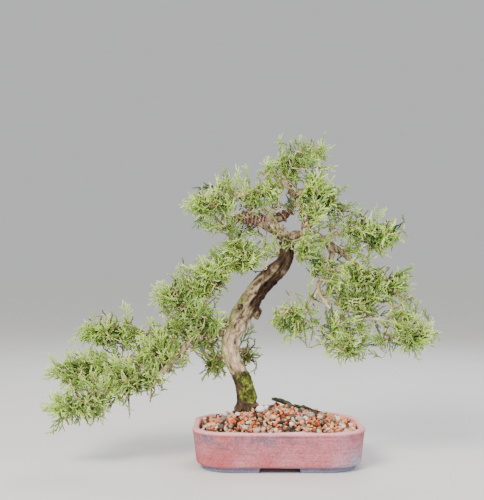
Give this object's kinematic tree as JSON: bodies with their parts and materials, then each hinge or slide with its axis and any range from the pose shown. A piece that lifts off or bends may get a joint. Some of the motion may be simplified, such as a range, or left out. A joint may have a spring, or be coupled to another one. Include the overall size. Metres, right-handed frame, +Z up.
{
  "type": "potted bonsai tree",
  "caption": "Leaning juniper bonsai with a bent trunk, wired branches and open pads of scale leaves, in a shallow clay tray topped with coloured grit.",
  "frame": {"origin": "middle of the base of the whole plant's box, on the surface that the tray's feet stand on", "axes": "+X along the tray's long side, towards the side that the hanging branch is on; the low branch reaches to -X. +Z up. -Y is the front that the tree is styled for."},
  "size_m": [0.5498, 0.166, 0.4614],
  "materials": {
    "fired_clay": "matte",
    "mesh_plastic": "matte",
    "pale_wire": "satin",
    "training_wire": "satin",
    "soil": "matte",
    "grit": "matte",
    "pebble": "matte",
    "trunk_bark": "matte",
    "branch_bark": "matte",
    "dead_wood": "matte",
    "moss": "matte",
    "juniper_leaf": "matte"
  },
  "bodies": {
    "root": {"pot": "fired_clay", "drainage_mesh_left": "mesh_plastic", "drainage_mesh_right": "mesh_plastic", "mesh_clip_left": "pale_wire", "mesh_clip_right": "pale_wire", "tie_down_wire": "pale_wire", "soil": "soil", "grit_layer": "grit", "branch_apex": "branch_bark", "branch_apex_arc": "branch_bark", "branch_apex_left": "branch_bark", "branch_apex_right": "branch_bark", "branch_back_left": "branch_bark", "branch_back_right": "branch_bark", "branch_hanging": "branch_bark", "branch_left_low": "branch_bark", "branch_left_upper": "branch_bark", "branch_mid_left": "branch_bark", "branch_right": "branch_bark", "branch_top_left": "branch_bark", "dead_root": "dead_wood", "foliage_apex_crown": "juniper_leaf", "foliage_apex_left": "juniper_leaf", "foliage_apex_right": "juniper_leaf", "foliage_apex_spike": "juniper_leaf", "foliage_back_left": "juniper_leaf", "foliage_back_right": "juniper_leaf", "foliage_fan_left": "juniper_leaf", "foliage_fan_upper": "juniper_leaf", "foliage_front": "juniper_leaf", "foliage_hanging_tip": "juniper_leaf", "foliage_left_crown": "juniper_leaf", "foliage_left_inner": "juniper_leaf", "foliage_left_middle": "juniper_leaf", "foliage_left_outer": "juniper_leaf", "foliage_left_shoulder": "juniper_leaf", "foliage_left_tip": "juniper_leaf", "foliage_mid_crown": "juniper_leaf", "foliage_mid_tip": "juniper_leaf", "foliage_mid_upper": "juniper_leaf", "foliage_right_crown": "juniper_leaf", "foliage_right_low": "juniper_leaf", "foliage_right_middle": "juniper_leaf", "foliage_right_outer": "juniper_leaf", "foliage_right_tip": "juniper_leaf", "moss": "moss", "stone_grey_left": "pebble", "stone_grey_right": "pebble", "stone_red_right": "pebble", "stone_tan_front": "pebble", "stone_white_large": "pebble", "stone_white_small": "pebble", "trunk": "trunk_bark", "wire_apex": "training_wire", "wire_apex_arc": "training_wire", "wire_ring": "pale_wire", "wire_top_left_inner": "training_wire", "wire_top_left_outer": "training_wire"}
  },
  "joints": []
}
